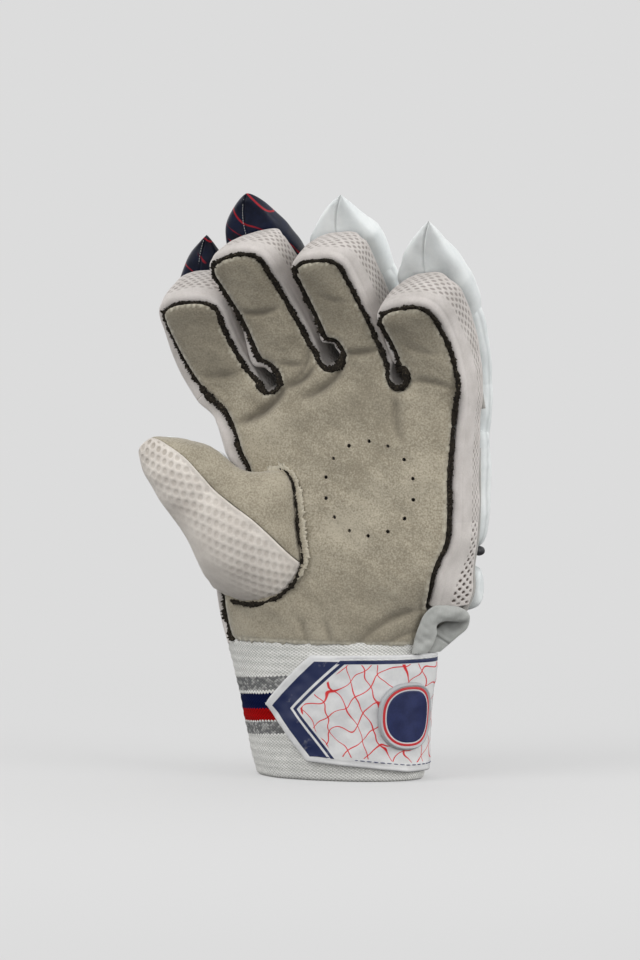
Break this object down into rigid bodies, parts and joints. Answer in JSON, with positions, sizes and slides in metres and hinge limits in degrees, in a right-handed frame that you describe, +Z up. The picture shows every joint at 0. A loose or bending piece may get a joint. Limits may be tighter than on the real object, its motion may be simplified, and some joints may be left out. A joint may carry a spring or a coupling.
{
  "type": "cricket batting glove",
  "caption": "Left-hand cricket batting glove with a suede palm, mesh-sided hollow fingers, padded back rolls, a hollow thumb and a knitted cuff closed by a wide strap.",
  "frame": {"origin": "middle of the base of the glove's box, where the cuff's rim stands", "axes": "+Z up from the cuff to the fingertips, +Y from the palm to the back of the hand, -X towards the thumb"},
  "size_m": [0.1676, 0.0856, 0.293],
  "materials": {
    "suede": "brushed grey-brown suede",
    "binding": "frayed black edge",
    "mesh": "white air mesh",
    "white_leather": "smooth white synthetic leather",
    "navy_leather": "glossy navy synthetic leather with red lines",
    "knit": "chunky white rib knit with navy, red and grey stripes",
    "strap_leather": "printed white synthetic leather",
    "badge_rubber": "moulded navy rubber with a red edge",
    "dark_rubber": "matt black rubber",
    "backing": "plain white lining"
  },
  "bodies": {
    "root": {"palm_panel": "suede", "thumb_palm": "suede", "edge_binding": "binding", "wrist_binding": "binding", "thumb_binding": "binding", "thumb_side_mesh": "mesh", "index_gusset": "mesh", "middle_gusset": "mesh", "ring_gusset": "mesh", "little_gusset": "mesh", "little_side_mesh": "mesh", "thumb_mesh": "mesh", "thumb_shell": "white_leather", "thumb_back_pad": "white_leather", "thumb_tip_pad": "white_leather", "index_hand_pad": "white_leather", "middle_hand_pad": "white_leather", "ring_hand_pad": "white_leather", "little_hand_pad": "white_leather", "wrist_pad": "white_leather", "index_knuckle_roll": "white_leather", "index_middle_roll": "white_leather", "middle_knuckle_roll": "white_leather", "middle_middle_roll": "white_leather", "ring_knuckle_roll": "white_leather", "ring_middle_roll": "white_leather", "little_knuckle_roll": "white_leather", "little_middle_roll": "white_leather", "ring_tip": "white_leather", "little_tip": "white_leather", "wrist_tape": "white_leather", "index_tip": "navy_leather", "middle_tip": "navy_leather", "cuff": "knit", "strap": "strap_leather", "strap_badge": "badge_rubber", "side_stud": "dark_rubber", "back_panel": "backing", "index_backing": "backing", "middle_backing": "backing", "ring_backing": "backing", "little_backing": "backing"}
  },
  "joints": []
}
